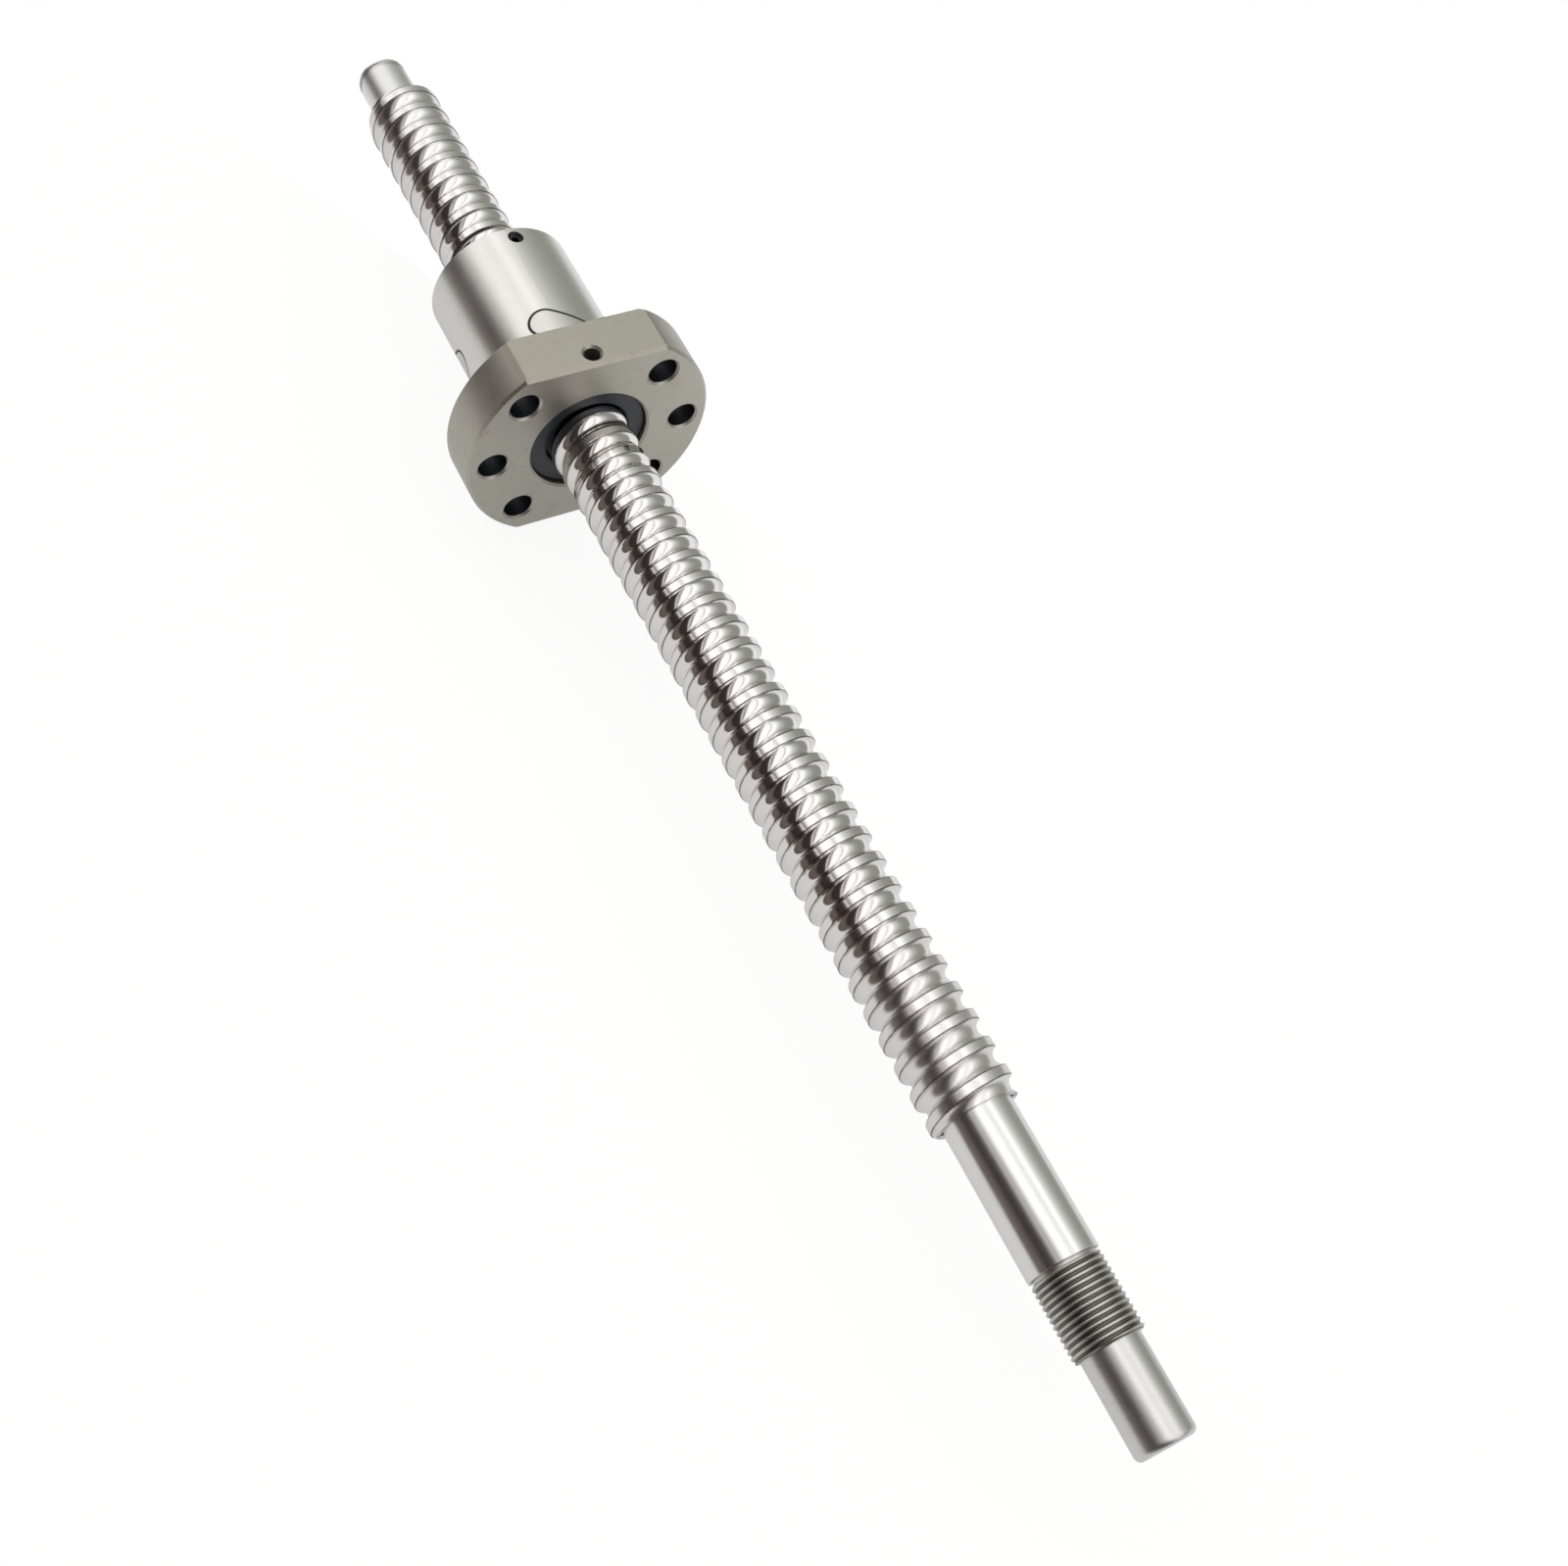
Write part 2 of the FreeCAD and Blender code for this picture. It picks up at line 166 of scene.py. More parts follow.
view = {
    "centre": (56.05 * mm, -112.41 * mm, 253.85 * mm),
    "right": (0.45696, 0.87315, 0.16972),
    "down": (0.79626, -0.31652, -0.51554),
    "lens": 41.685,
    "sensor": 36.0,
    "clip": (0.01, 20.0),
}


def makeCamera():
    data = bpy.data.cameras.new("camera")
    data.lens = view["lens"]
    data.sensor_width = view["sensor"]
    data.clip_start, data.clip_end = view["clip"]
    camera = bpy.data.objects.new("camera", data)
    right = Vector(view["right"]).normalized()
    up = -Vector(view["down"])
    up = (up - right * up.dot(right)).normalized()
    back = right.cross(up)
    turned = Matrix((right, up, back)).transposed().to_4x4()
    camera.matrix_world = Matrix.Translation(Vector(view["centre"])) @ turned
    scene.collection.objects.link(camera)
    scene.camera = camera


studio = {  # the room by its angle round a level line, which is turned from the screw in plan
    "turned": 24.0,
    "stops": [  # degrees from level on the far side, over the top and down on the near side
        (-180, (0.13, 0.105, 0.095)),
        (-150, (0.13, 0.11, 0.10)),
        (-90, (0.30, 0.29, 0.28)),
        (-30, (0.36, 0.37, 0.34)),
        (8, (0.33, 0.345, 0.31)),
        (22, (0.36, 0.375, 0.34)),
        (36, (0.52, 0.53, 0.50)),
        (50, (0.80, 0.81, 0.79)),
        (58, (1.20, 1.20, 1.19)),
        (74, (1.22, 1.22, 1.20)),
        (76, (0.80, 0.79, 0.78)),  # the frame between the ceiling's panels
        (79, (0.80, 0.79, 0.78)),
        (81, (1.30, 1.29, 1.28)),
        (104, (1.30, 1.29, 1.28)),
        (110, (1.05, 1.03, 1.01)),
        (114, (0.30, 0.27, 0.26)),
        (118, (0.26, 0.23, 0.22)),
        (120, (0.85, 0.82, 0.80)),
        (125, (0.72, 0.69, 0.67)),
        (128, (0.10, 0.085, 0.08)),
        (134, (0.045, 0.037, 0.034)),
        (156, (0.035, 0.030, 0.030)),
        (162, (0.12, 0.095, 0.09)),
        (172, (0.16, 0.13, 0.12)),
        (180, (0.14, 0.115, 0.105)),
    ],
    "boxes": (64, 97),  # two long soft boxes, at these angles
    "boxMiddle": -0.1,
    "boxDistance": 1.0,
    "boxLength": 1.8,
    "boxWidth": 0.06,
    "boxRadiance": 1.2,
    "paperAlong": (-0.45, 0.25),
    "paperAcross": (-0.155, 0.085),
    "paperHeight": -24.4 * mm,
    "paper": (0.80, 0.80, 0.785),
    "paperGlow": 1.06,
    "paperWhite": 0.86,  # the glow's share for the camera, and below it the share for metal and glass
    "mirroredWhite": 0.40,
    "sweep": (-0.30, -0.12),  # how steeply down metal sees plain white, and where that has faded to the room
}


def rayKinds(graph):  # 1 on the camera's rays, and 1 on those that metal or glass sends on
    camera = graph.add("LightPath", out="Is Camera Ray")
    glossy = graph.add("LightPath", out="Is Glossy Ray")
    return camera, glossy.calc("MAXIMUM", glossy, graph.add("LightPath", out="Is Transmission Ray"))


def inStudio(x, y, z):  # a point of the turned studio in the row frame
    turn = Matrix.Rotation(math.radians(studio["turned"]), 4, "Z")
    return turn @ Vector((x, y, z))


def makeWorld():
    world = bpy.data.worlds.new("studio")
    scene.world = world
    world.use_nodes = True
    tree = world.node_tree
    tree.nodes.clear()
    graph = Sock(tree)
    direction = graph.add("TexCoord", out="Generated")
    turned = graph.add("VectorRotate", {"rotation_type": "Z_AXIS"},
                       {"Vector": direction, "Angle": -math.radians(studio["turned"])})
    y, z = separate(graph, turned)[1:]
    share = y.calc("ARCTAN2", z, y) / (2 * math.pi) + 0.5
    stops = [((degrees + 180) / 360, colour + (1.0,)) for degrees, colour in studio["stops"]]
    colour = share.add("ValToRGB", {"stops": stops}, {0: share})
    camera, mirrored = rayKinds(graph)
    below = 1 - z.ramp(*studio["sweep"])
    shown = camera.calc("MAXIMUM", camera, mirrored * below).blend(colour, rgb(1, 1, 1))
    background = graph.add("Background", None, {"Color": shown})
    output = tree.nodes.new("ShaderNodeOutputWorld")
    tree.links.new(background.socket, output.inputs["Surface"])


def makeLamps():
    for number, degrees in enumerate(studio["boxes"], 1):
        data = bpy.data.lights.new(f"softBox{number}", "AREA")
        data.shape = "RECTANGLE"
        data.size, data.size_y = studio["boxLength"], studio["boxWidth"]
        data.energy = studio["boxRadiance"] * math.pi * data.size * data.size_y
        lamp = bpy.data.objects.new(f"softBox{number}", data)
        angle = math.radians(degrees)
        reach = studio["boxDistance"]
        across, up = reach * math.cos(angle), reach * math.sin(angle)
        place = Matrix.Translation(inStudio(studio["boxMiddle"], across, up))
        turn = Matrix.Rotation(math.radians(studio["turned"]), 4, "Z")
        lamp.matrix_world = place @ turn @ Matrix.Rotation(angle - math.pi / 2, 4, "X")
        scene.collection.objects.link(lamp)


def makeFloor():
    z = studio["paperHeight"]
    (x0, x1), (y0, y1) = studio["paperAlong"], studio["paperAcross"]
    mesh = bpy.data.meshes.new("floor")
    corners = [inStudio(x, y, z) for x, y in ((x0, y0), (x1, y0), (x1, y1), (x0, y1))]
    mesh.from_pydata(corners, [], [(0, 1, 2, 3)])
    piece = bpy.data.objects.new("floor", mesh)
    scene.collection.objects.link(piece)
    material, graph, shader = newMaterial("whitePaper")
    feed(graph, shader, Base_Color=rgb(*studio["paper"]), Roughness=0.9)
    camera, mirrored = rayKinds(graph)
    white = camera * studio["paperWhite"] + mirrored * studio["mirroredWhite"]
    lit = graph.add("Emission", None, {"Color": rgb(1, 1, 1), "Strength": studio["paperGlow"]})
    mixed = graph.add("MixShader", None, {0: white, 1: Sock(graph.tree, shader.outputs[0]), 2: lit})
    output = graph.tree.nodes["Material Output"]
    graph.tree.links.new(mixed.socket, output.inputs["Surface"])
    mesh.materials.append(material)


# Finishes: rough is where a roughness starts, and cloud, lines, grain and scratch are what noises add to it

lead = 5.0
grooveStart = -1.5
bumpDepth = 0.2 * mm

thread = {
    "colour": (0.76, 0.74, 0.73),
    "rough": 0.025,
    "cloud": 0.06,
    "cloudScale": 0.35,
    "lines": 0.05,
    "lineScale": 9.0,
    "bump": 0.07,
    "edgeShadeColour": (0.10, 0.085, 0.085),  # painted shade: the colour of the dark line where a land turns down
    "edgeShadeWidth": (0.05, 0.16),  # mm from the edge to where the painted shade line starts to fade, and to where it ends
    "shadeVaryRange": (0.25, 0.6),
    "shadeVaryScale": 0.8,
    "leastEdgeShade": 0.5,
    "shadeVaryShare": 0.35,
    "edgeRough": 0.10,
    "nearSatin": (-45.0, -12.0),  # mm along the screw, where the polish fades towards each end
    "nearRough": 0.19,
    "farSatin": (-228.0, -185.0),
    "farRough": 0.13,
}


def groundThread():
    material, graph, shader = newMaterial("groundThread")
    at = places(graph)
    along = at.x + at.angle * (lead / (2 * math.pi))
    lines = lineNoise(graph, along, thread["lineScale"])
    cloud = noise(graph, at.point, thread["cloudScale"])
    phase = along - (lead / 4 + grooveStart)
    across = along.calc("WRAP", phase, lead / 2, -lead / 2)  # 0 in the groove's middle
    fromEdge = across.calc("ABSOLUTE", across.calc("ABSOLUTE", across) - landEdge())
    # painted shade: a dark line along both edges of each land, its strength varied at random by a noise
    shadeVary = noise(graph, at.point, thread["shadeVaryScale"]).ramp(*thread["shadeVaryRange"])
    edge = (1 - fromEdge.ramp(*thread["edgeShadeWidth"])) * (shadeVary * thread["shadeVaryShare"] + thread["leastEdgeShade"])
    nearSatin = at.x.ramp(*thread["nearSatin"]) * thread["nearRough"]
    farSatin = (1 - at.x.ramp(*thread["farSatin"])) * thread["farRough"]
    rough = roughness(thread, cloud=cloud, lines=lines) + edge * thread["edgeRough"] + nearSatin + farSatin
    feed(graph, shader, Metallic=1.0, Roughness=rough, Normal=bump(graph, lines, thread["bump"]),
         Base_Color=edge.blend(rgb(*thread["colour"]), rgb(*thread["edgeShadeColour"])))
    return material


turned = {  # the screw's plain ends
    "shared": {"cloud": 0.06, "cloudScale": 0.5, "lines": 0.10, "onFaces": 0.7},
    "journal": {"colour": (0.755, 0.75, 0.735), "rough": 0.155, "lineScale": 7.0, "bump": 0.06},
    "cutThread": {"colour": (0.56, 0.55, 0.52), "rough": 0.26, "lineScale": 5.0, "bump": 0.15},
    "turnedEnd": {"colour": (0.60, 0.59, 0.57), "rough": 0.26, "lineScale": 4.0, "bump": 0.12},
    "driveEnd": {"colour": (0.66, 0.65, 0.635), "rough": 0.25, "lineScale": 6.0, "bump": 0.10},
    "root": (0.15, 0.145, 0.13),  # painted shade: the bottom of a cut thread is darker
    "aboveRoot": 0.03,
    "belowCrest": 0.04,
    "farJournal": (-236.0, -234.0),  # mm along the screw, beyond which the journal is duller
    "farRough": 0.14,
}


def turnedSteel(name):
    material, graph, shader = newMaterial(name)
    at = places(graph)
    values = turned["shared"] | turned[name]
    lines = lineNoise(graph, at.x + at.radius * values["onFaces"], values["lineScale"])
    cloud = noise(graph, at.point, values["cloudScale"])
    colour = rgb(*values["colour"])
    rough = roughness(values, cloud=cloud, lines=lines)
    if name == "cutThread":
        # painted shade, darker from the crest down into the thread's roots
        low = shaft["crestRadius"] - shaft["locknutDepth"] + turned["aboveRoot"]
        height = at.radius.ramp(low, shaft["crestRadius"] - turned["belowCrest"])
        colour = height.blend(rgb(*turned["root"]), colour)
    if name == "journal":
        rough = rough + (1 - at.x.ramp(*turned["farJournal"])) * turned["farRough"]
    feed(graph, shader, Metallic=1.0, Base_Color=colour, Roughness=rough,
         Normal=bump(graph, lines, values["bump"]))
    return material


slots = {  # the ball return slots: the first one's place in mm and degrees, and their outline in mm
    "count": 3,
    "first": -157.83,
    "firstAngle": 84.24,
    "turnsApart": 4 / 3,
    "slant": 34.0,
    "halfLength": 3.9,
    "halfWidth": 3.05,
    "farSide": 50.0,  # mm added on the far side of the screw, where a slot doesn't come through
    # painted shade of the gap round each slot: its colour, and its width in mm
    "gapShadeColour": (0.05, 0.05, 0.05),
    "gapShadeWidth": (0.16, 0.34),
}


def slotDistance(graph, point):  # mm from the nearest slot's outline, negative inside
    nearest = None
    slant = Matrix.Rotation(math.radians(90 - slots["slant"]), 4, "Z")
    for number in range(slots["count"]):
        turns = number * slots["turnsApart"]
        angle = slots["firstAngle"] - 360 * turns
        turn = Matrix.Rotation(math.radians(angle - 90), 4, "X") @ slant
        place = {"Location": (slots["first"] - lead * turns, 0, 0), "Rotation": turn.to_euler()}
        local = graph.add("Mapping", {"vector_type": "TEXTURE"}, {"Vector": point} | place)
        u, v, w = separate(graph, local)
        along = u.calc("MAXIMUM", u.calc("ABSOLUTE", u) - slots["halfLength"], 0.0)
        farSide = w.calc("LESS_THAN", w, 0.0) * slots["farSide"]
        distance = (along * along + v * v) ** 0.5 - slots["halfWidth"] + farSide
        nearest = distance if nearest is None else distance.calc("MINIMUM", nearest, distance)
    return nearest


def slotGapShade(graph, point):  # painted shade: the dark line of the gap round each slot, on the nut and on the deflector
    edge = slotDistance(graph, point)
    return 1 - edge.calc("ABSOLUTE", edge).ramp(*slots["gapShadeWidth"])


nut = {
    "body": (0.71, 0.70, 0.675),
    "rim": (0.47, 0.45, 0.405),
    "flat": (0.42, 0.40, 0.345),
    "stain": (0.33, 0.30, 0.25),
    # painted shade inside the flange's bolt holes
    "hole": (0.10, 0.105, 0.12),
    "rough": 0.21,
    "rimRough": 0.12,
    "grain": 0.08,
    "grainScale": 3.0,
    "cloud": 0.10,
    "cloudScale": 0.12,
    "stainScale": 0.35,
    "stainEdge": (0.52, 0.74),
    "stainShare": 0.5,
    "bump": 0.06,
    "rimStart": (-153.0, -152.4),  # mm along the screw
    "flatStart": (19.2, 19.6),  # mm from the screw's axis
    "boltCircle": 19.0,
    "holeEdge": (2.77, 2.84),
}


def nutSteel():
    material, graph, shader = newMaterial("nutSteel")
    at = places(graph)
    rim = at.x.ramp(*nut["rimStart"])
    grain = noise(graph, at.point, nut["grainScale"], 4.0)
    cloud = noise(graph, at.point, nut["cloudScale"])
    stain = noise(graph, at.point, nut["stainScale"], 6.0, 0.7).ramp(*nut["stainEdge"]) * rim
    sideY, sideZ = at.y.calc("ABSOLUTE", at.y), at.z.calc("ABSOLUTE", at.z)
    circle, diagonal = nut["boltCircle"], nut["boltCircle"] * math.sqrt(0.5)
    level = ((sideY - circle) ** 2 + sideZ * sideZ) ** 0.5
    corner = ((sideY - diagonal) ** 2 + (sideZ - diagonal) ** 2) ** 0.5
    # painted shade: the bolt holes are painted near-black
    hole = (1 - level.calc("MINIMUM", level, corner).ramp(*nut["holeEdge"])) * rim
    flat = sideZ.ramp(*nut["flatStart"]) * rim
    colour = rim.blend(rgb(*nut["body"]), rgb(*nut["rim"]))
    colour = flat.blend(colour, rgb(*nut["flat"]))
    colour = (stain * nut["stainShare"]).blend(colour, rgb(*nut["stain"]))
    colour = hole.blend(colour, rgb(*nut["hole"]))
    # painted shade of the gap round the slots
    colour = slotGapShade(graph, at.point).blend(colour, rgb(*slots["gapShadeColour"]))
    rough = roughness(nut, grain=grain, cloud=cloud) + rim * nut["rimRough"]
    feed(graph, shader, Metallic=1.0, Base_Color=colour, Roughness=rough,
         Normal=bump(graph, grain, nut["bump"]))
    return material


deflector = {
    "colour": (0.66, 0.65, 0.62),
    "rough": 0.24,
    "grain": 0.12,
    "grainScale": 4.0,
    "scratch": 0.1,
    "scratchScale": 6.0,
    "scratchTurn": 9.0,
    "bump": 0.08,
}


def deflectorSteel():
    material, graph, shader = newMaterial("deflector")
    at = places(graph)
    grain = noise(graph, at.point, deflector["grainScale"], 4.0)
    scratch = lineNoise(graph, at.x + at.angle * deflector["scratchTurn"], deflector["scratchScale"], 3.0)
    # painted shade of the gap round the slots
    colour = slotGapShade(graph, at.point).blend(rgb(*deflector["colour"]), rgb(*slots["gapShadeColour"]))
    feed(graph, shader, Metallic=1.0, Base_Color=colour,
         Roughness=roughness(deflector, grain=grain, scratch=scratch),
         Normal=bump(graph, scratch, deflector["bump"]))
    return material


small = {  # the balls, the wiper rings and their screws
    "ball": {"colour": (0.80, 0.80, 0.80), "rough": -0.01, "grain": 0.12, "grainScale": 4.0},
    "wiper": {"colour": (0.018, 0.022, 0.034), "paler": (0.035, 0.04, 0.055), "rough": 0.30, "grain": 0.2,
              "grainScale": 2.5, "bump": 0.08},
    "wiperScrew": {"colour": (0.05, 0.05, 0.055), "rough": 0.35, "grain": 0.2, "grainScale": 5.0},
}


def ballSteel():
    material, graph, shader = newMaterial("ball")
    values = small["ball"]
    grain = noise(graph, places(graph).point, values["grainScale"], 4.0)
    feed(graph, shader, Metallic=1.0, Base_Color=rgb(*values["colour"]),
         Roughness=roughness(values, grain=grain))
    return material


def wiperPlastic():
    material, graph, shader = newMaterial("wiperPlastic")
    values = small["wiper"]
    grain = noise(graph, places(graph).point, values["grainScale"], 4.0)
    feed(graph, shader, Base_Color=grain.blend(rgb(*values["colour"]), rgb(*values["paler"])),
         Roughness=roughness(values, grain=grain), Normal=bump(graph, grain, values["bump"]))
    return material


def blackSteel():
    material, graph, shader = newMaterial("blackSteel")
    values = small["wiperScrew"]
    grain = noise(graph, places(graph).point, values["grainScale"])
    feed(graph, shader, Metallic=1.0, Base_Color=rgb(*values["colour"]),
         Roughness=roughness(values, grain=grain))
    return material


# Screw shaft: the ball groove and the locknut thread are helical strips, and the rest is turned

shaft = {
    "threadLength": 235.0,
    "landRadius": 7.8,
    "ballCircle": 8.3,
    "grooveRadius": 1.7,
    "edgeRadius": 0.22,
    "endChamfer": 0.6,
    "grooveSteps": 10,
    "filletSteps": 4,
    "stepsRound": 72,  # points in one turn of a thread, and of what is turned
    "stepsTurned": 144,
    "sharpAngle": 32.0,
    "seatRadius": 6.0,
    "seatLength": 25.5,
    "seatEdge": 0.12,
    "locknutLength": 13.0,
    "locknutPitch": 1.0,
    "locknutDepth": 0.38,
    "cutSteps": 12,
    "cutSharpness": 0.75,
    "crestRadius": 5.94,
    "crestMargin": 0.02,
    "reliefChamfer": 0.15,
    "reliefWidth": 0.6,
    "reliefRadius": 5.19,
    "driveRadius": 5.0,
    "driveLength": 15.5,
    "driveChamfer": 1.1,
    "floatRadius": 5.0,
    "floatLength": 11.0,
    "floatChamfer": 0.3,
    "circlipDistance": 9.15,
    "circlipWidth": 1.15,
    "circlipRadius": 4.8,
    "centreMouth": 1.6,
    "centrePilot": 0.8,
    "centreDepth": 1.4,
    "pilotDepth": 3.6,
}
layers = {"groundThread": 0, "journal": 1, "cutThread": 2, "turnedEnd": 3, "driveEnd": 4}
planeSlack = 1e-7  # m, for what counts as on a cut


def grooveReach():  # from the groove's middle to its fillet's centre, in the groove's own section
    radius, fillet = shaft["grooveRadius"], shaft["edgeRadius"]
    depth = shaft["ballCircle"] - shaft["landRadius"] + fillet
    return math.sqrt((radius + fillet) ** 2 - depth ** 2), depth


def sectionStretch():  # the section is square to the helix, so it is longer along the screw
    return 1 / math.cos(math.atan2(lead, 2 * math.pi * shaft["ballCircle"]))


def landEdge():  # along the screw, from the groove's middle to where the land turns down
    reach = grooveReach()[0]
    return (reach - 0.5 * shaft["edgeRadius"]) * sectionStretch()


def grooveProfile():  # (along, out) over one lead, from the middle of a land to the next, groove at 0
    radius, centre, fillet = shaft["grooveRadius"], shaft["ballCircle"], shaft["edgeRadius"]
    land, grooveSteps, filletSteps = shaft["landRadius"], shaft["grooveSteps"], shaft["filletSteps"]
    reach, depth = grooveReach()
    slope = math.atan2(reach, depth)
    stretch = sectionStretch()
    half = []
    for k in range(grooveSteps):
        turn = slope * k / grooveSteps
        half.append((radius * math.sin(turn) * stretch, centre - radius * math.cos(turn)))
    for k in range(filletSteps + 1):
        turn = slope * (1 - k / filletSteps)
        half.append(((reach - fillet * math.sin(turn)) * stretch, land - fillet + fillet * math.cos(turn)))
    flat = half[-1][0]
    for k in (1, 2):
        half.append((flat + (lead / 2 - flat) * k / 3, land))
    left = [(-along, out) for along, out in reversed(half[1:])]
    return [(-lead / 2, land)] + left + half


def cutProfile():  # the locknut thread's V, with rounded crests and roots
    pitch, half = shaft["locknutPitch"], shaft["locknutDepth"] / 2
    middle, steps = shaft["crestRadius"] - half, shaft["cutSteps"]
    points = []
    for k in range(steps):
        wave = math.cos(2 * math.pi * k / steps)
        height = math.copysign(abs(wave) ** shaft["cutSharpness"], wave)
        points.append((pitch * (k / steps - 0.5), middle + half * height))
    return points


def helixStrip(mesh, profile, pitch, start, turns, materialIndex):
    steps = shaft["stepsRound"]
    rows = len(profile)
    columns = int(turns * steps)
    verts = []
    for i in range(columns + steps):
        angle = 2 * math.pi * i / steps
        c, s = math.cos(angle), math.sin(angle)
        for along, out in profile:
            x = start + pitch * i / steps + along
            verts.append(mesh.verts.new((x * mm, out * c * mm, out * s * mm)))
    for i in range(columns - 1):
        for j in range(rows):
            a = verts[i * rows + j]
            b = verts[(i + 1) * rows + j]
            if j + 1 < rows:
                d, c = verts[i * rows + j + 1], verts[(i + 1) * rows + j + 1]
            else:
                d, c = verts[(i + steps) * rows], verts[(i + steps + 1) * rows]
            face = mesh.faces.new((a, d, c, b))
            face.material_index = materialIndex
            face.smooth = True
    loose = [v for v in mesh.verts if not v.link_faces]
    bmesh.ops.delete(mesh, geom=loose, context="VERTS")


def cutAt(mesh, x, outward=0):  # a loop of edges at x; outward +1 or -1 clears what is beyond it
    geometry = mesh.verts[:] + mesh.edges[:] + mesh.faces[:]
    bmesh.ops.bisect_plane(mesh, geom=geometry, dist=planeSlack, plane_co=(x * mm, 0, 0),
                           plane_no=(outward or 1, 0, 0), clear_outer=bool(outward))


def loopAt(mesh, x):
    return [edge for edge in mesh.edges
            if edge.is_boundary and all(abs(vert.co.x - x * mm) < 2 * planeSlack for vert in edge.verts)]


def clampEnd(mesh, x, inward, chamfer, top):  # cuts the 45 degree chamfer of a threaded end
    for vert in mesh.verts:
        depth = (vert.co.x / mm - x) * inward
        if depth < chamfer:
            radius = math.hypot(vert.co.y, vert.co.z) / mm
            limit = top - chamfer + max(depth, 0)
            if radius > limit:
                vert.co.y *= limit / radius
                vert.co.z *= limit / radius


def lathe(mesh, profile, materialIndexes):  # one material index for each stretch of the profile
    steps = shaft["stepsTurned"]
    turns = [2 * math.pi * k / steps for k in range(steps)]
    rings = []
    for x, out in profile:
        if out == 0:
            places = [(x * mm, 0, 0)]
        else:
            places = [(x * mm, out * mm * math.cos(turn), out * mm * math.sin(turn)) for turn in turns]
        rings.append([mesh.verts.new(place) for place in places])
    for first, second, materialIndex in zip(rings, rings[1:], materialIndexes):
        for i in range(steps):
            n = (i + 1) % steps
            corners = [first[i % len(first)], first[n % len(first)]]
            corners += [second[n % len(second)], second[i % len(second)]]
            face = mesh.faces.new(list(dict.fromkeys(corners)))  # a ring of one point gives triangles
            face.material_index = materialIndex
            face.smooth = True


def joinLoops(mesh, first, second, materialIndex):
    made = bmesh.ops.bridge_loops(mesh, edges=first + second)
    for face in made["faces"]:
        face.material_index = materialIndex
        face.smooth = True


def threadedPart(profile, pitch, start, low, high, materialIndex, chamfers, top):
    part = bmesh.new()
    first = math.floor((low - start) / pitch) - 1  # a turn more at each end, which is then cut off
    turns = math.ceil((high - low) / pitch) + 3
    helixStrip(part, profile, pitch, start + first * pitch, turns, materialIndex)
    cutAt(part, low, -1)
    cutAt(part, high, 1)
    for end, inward, chamfer in zip((low, high), (1, -1), chamfers):
        for k in (1, 2, 3):
            cutAt(part, end + inward * chamfer * k / 3)
        clampEnd(part, end, inward, chamfer, top)
    mesh = bpy.data.meshes.new("part")
    part.to_mesh(mesh)
    part.free()
    return mesh


def stations():  # along the screw in mm
    far, near = -shaft["threadLength"], shaft["seatLength"]
    threadEnd = near + shaft["locknutLength"]
    return SimpleNamespace(far=far, farTip=far - shaft["floatLength"], near=near,
                           relief=near + shaft["reliefWidth"], threadEnd=threadEnd,
                           tip=threadEnd + shaft["driveLength"])


def ballThread(at):
    chamfers = (shaft["endChamfer"], shaft["endChamfer"])
    return threadedPart(grooveProfile(), lead, grooveStart, at.far, 0.0, layers["groundThread"], chamfers,
                        shaft["landRadius"])


def locknutThread(at):
    chamfers = (shaft["reliefChamfer"], shaft["locknutDepth"])
    return threadedPart(cutProfile(), shaft["locknutPitch"], at.near, at.relief, at.threadEnd,
                        layers["cutThread"], chamfers, shaft["crestRadius"] - shaft["crestMargin"])


def roundedEdge(x, out, size, steps):  # from the cylinder of this radius round to the face at x
    quarter = [math.pi / 2 * k / steps for k in range(steps + 1)]
    return [(x - size * (1 - math.sin(turn)), out - size * (1 - math.cos(turn))) for turn in quarter]


def centreDrilling(face, outward):  # from its mouth in to its point
    pilot, deep = shaft["centrePilot"], shaft["pilotDepth"]
    return [(face, shaft["centreMouth"]), (face - outward * shaft["centreDepth"], pilot),
            (face - outward * deep, pilot), (face - outward * (deep + pilot), 0)]


def addSeat(mesh, at):  # with the relief beside it
    rounded = roundedEdge(at.near, shaft["seatRadius"], shaft["seatEdge"], 3)
    relief = [(at.near, shaft["reliefRadius"]), (at.relief, shaft["reliefRadius"])]
    indexes = [layers["journal"]] * len(rounded) + [layers["turnedEnd"]] * len(relief)
    lathe(mesh, [(0.0, shaft["seatRadius"])] + rounded + relief, indexes)


def addDriveEnd(mesh, at):
    rounded = roundedEdge(at.tip, shaft["driveRadius"], shaft["driveChamfer"], 8)
    drilling = centreDrilling(at.tip, 1)
    indexes = [layers["driveEnd"]] * len(rounded) + [layers["turnedEnd"]] * len(drilling)
    lathe(mesh, [(at.threadEnd, shaft["driveRadius"])] + rounded + drilling, indexes)


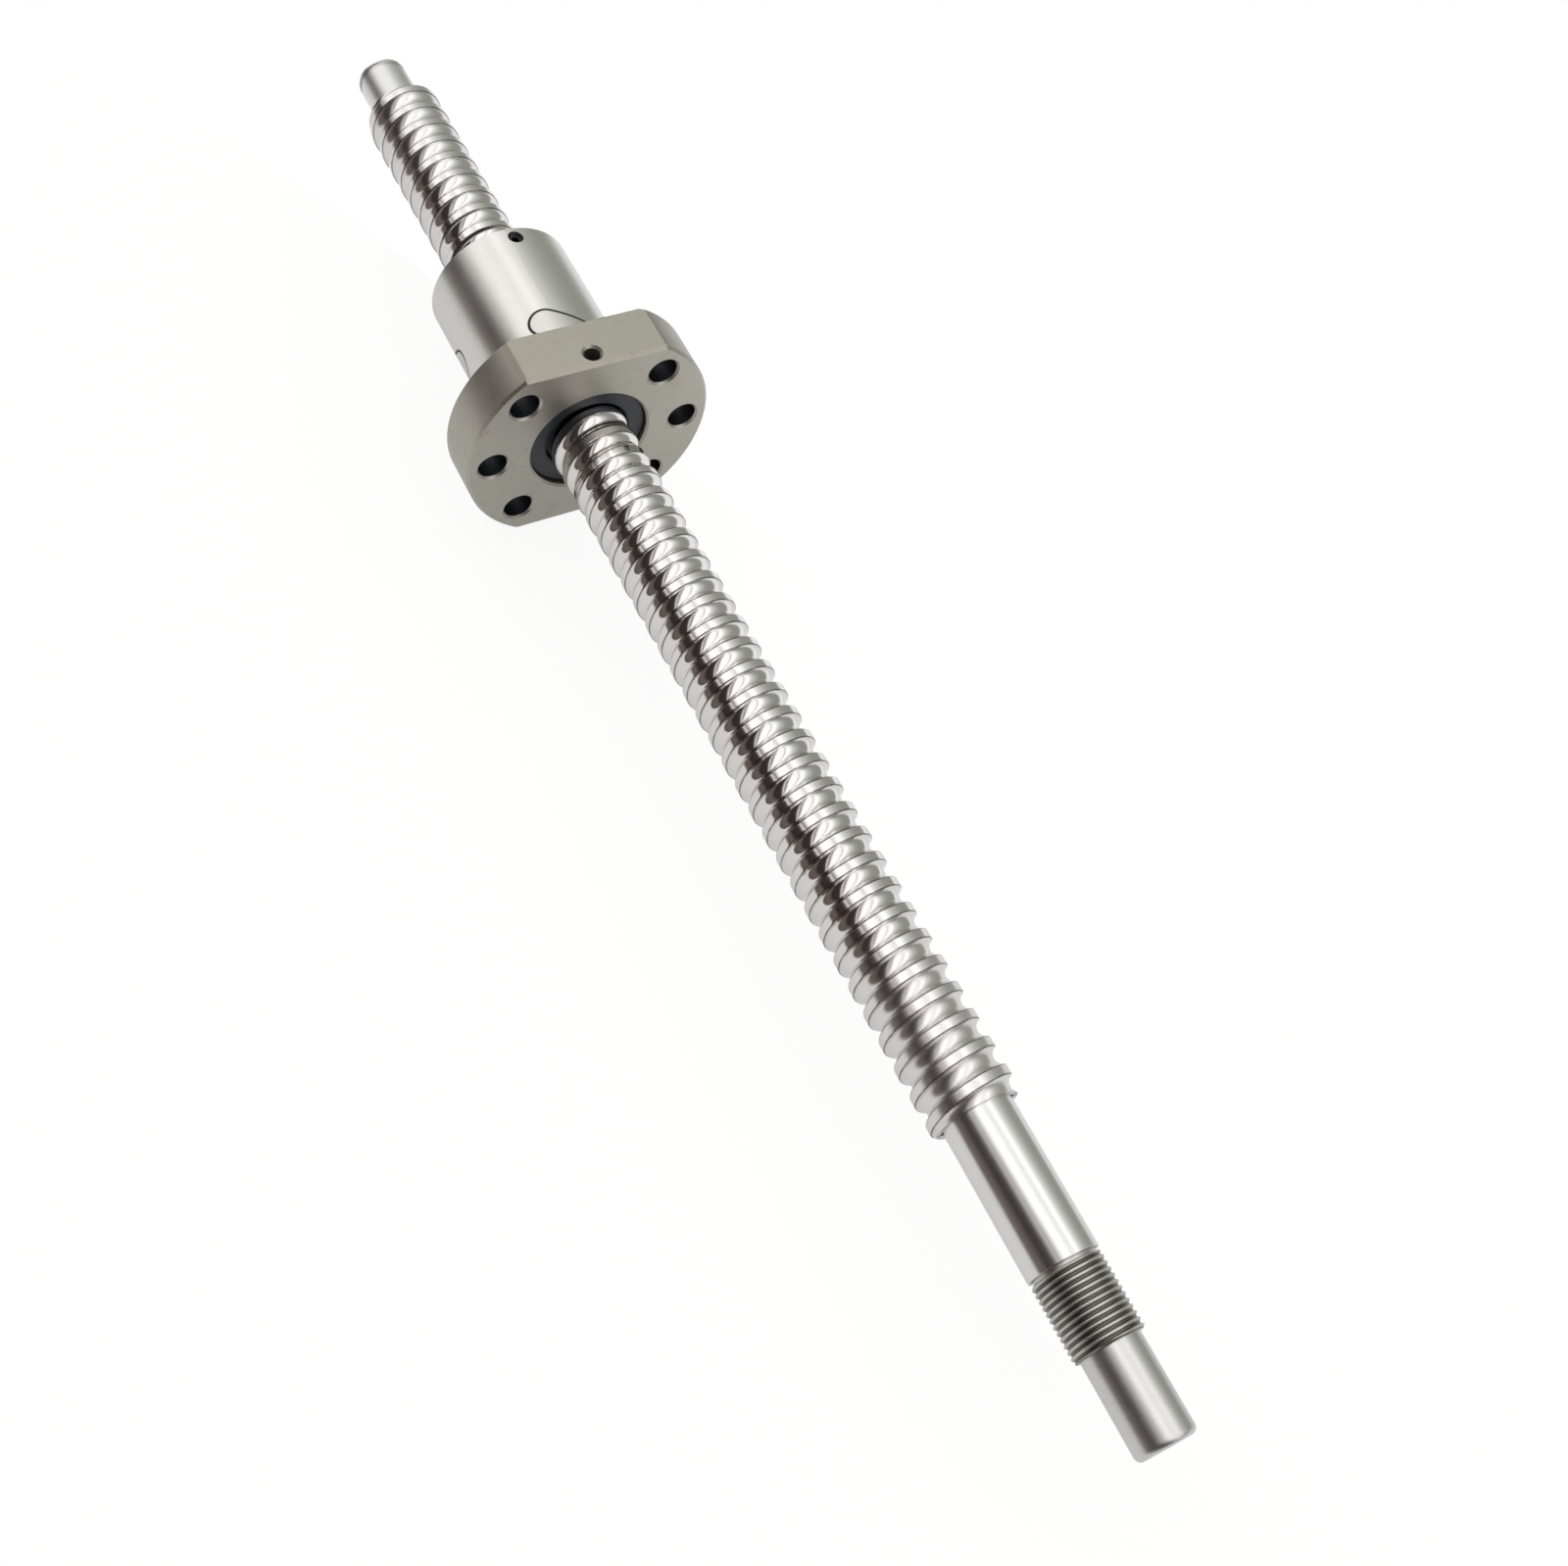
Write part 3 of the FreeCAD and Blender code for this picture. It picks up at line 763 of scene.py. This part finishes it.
def addFloatingEnd(mesh, at):  # with its circlip groove
    out, ring, chamfer = shaft["floatRadius"], shaft["circlipRadius"], shaft["floatChamfer"]
    near = at.far - shaft["circlipDistance"]
    far = near - shaft["circlipWidth"]
    face = centreDrilling(at.farTip, -1)[::-1] + [(at.farTip, out - chamfer)]
    journal = [(at.farTip + chamfer, out), (far, out), (far, ring), (near, ring), (near, out), (at.far, out)]
    turnedEnd, journalLayer = layers["turnedEnd"], layers["journal"]
    indexes = [turnedEnd] * len(face) + [journalLayer, journalLayer, turnedEnd, journalLayer, journalLayer]
    lathe(mesh, face + journal, indexes)


def makeShaft():
    at = stations()
    mesh = bmesh.new()
    mesh.from_mesh(ballThread(at))
    mesh.from_mesh(locknutThread(at))
    addSeat(mesh, at)
    addDriveEnd(mesh, at)
    addFloatingEnd(mesh, at)
    for x in (0.0, at.far, at.relief, at.threadEnd):
        joinLoops(mesh, *pairAt(mesh, x), layers["turnedEnd"])
    bmesh.ops.recalc_face_normals(mesh, faces=mesh.faces[:])
    data = bpy.data.meshes.new("screwShaftBody")
    mesh.to_mesh(data)
    mesh.free()
    data.set_sharp_from_angle(angle=math.radians(shaft["sharpAngle"]))
    for name in layers:
        data.materials.append(groundThread() if name == "groundThread" else turnedSteel(name))
    piece = bpy.data.objects.new("screwShaftBody", data)
    scene.collection.objects.link(piece)
    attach(piece, "screw")
    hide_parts("screw_shaft")


def pairAt(mesh, x):  # the two open loops at x, the larger first
    edges = loopAt(mesh, x)
    radius = {e: math.hypot(*((e.verts[0].co + e.verts[1].co) / 2).yz) for e in edges}
    start = min(edges, key=lambda e: radius[e])
    inner = {start}
    reach = [start]
    while reach:
        edge = reach.pop()
        for vert in edge.verts:
            for other in vert.link_edges:
                if other in radius and other not in inner:
                    inner.add(other)
                    reach.append(other)
    return [e for e in edges if e not in inner], list(inner)


def paint(node, material):
    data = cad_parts[node].data
    data.materials.clear()
    data.materials.append(material)


makeCamera()
makeWorld()
makeLamps()
makeFloor()
print("camera, studio and floor")
makeShaft()
print("screw shaft")
paint("nut_body", nutSteel())
deflectorFinish = deflectorSteel()
ballFinish = ballSteel()
for number in (1, 2, 3):
    paint(f"return_deflector_{number}", deflectorFinish)
    paint(f"ball_circuit_{number}", ballFinish)
wiperFinish = wiperPlastic()
screwFinish = blackSteel()
for end in ("front", "rear"):
    paint(f"wiper_{end}", wiperFinish)
    paint(f"wiper_screw_{end}", screwFinish)
print("nut finishes")
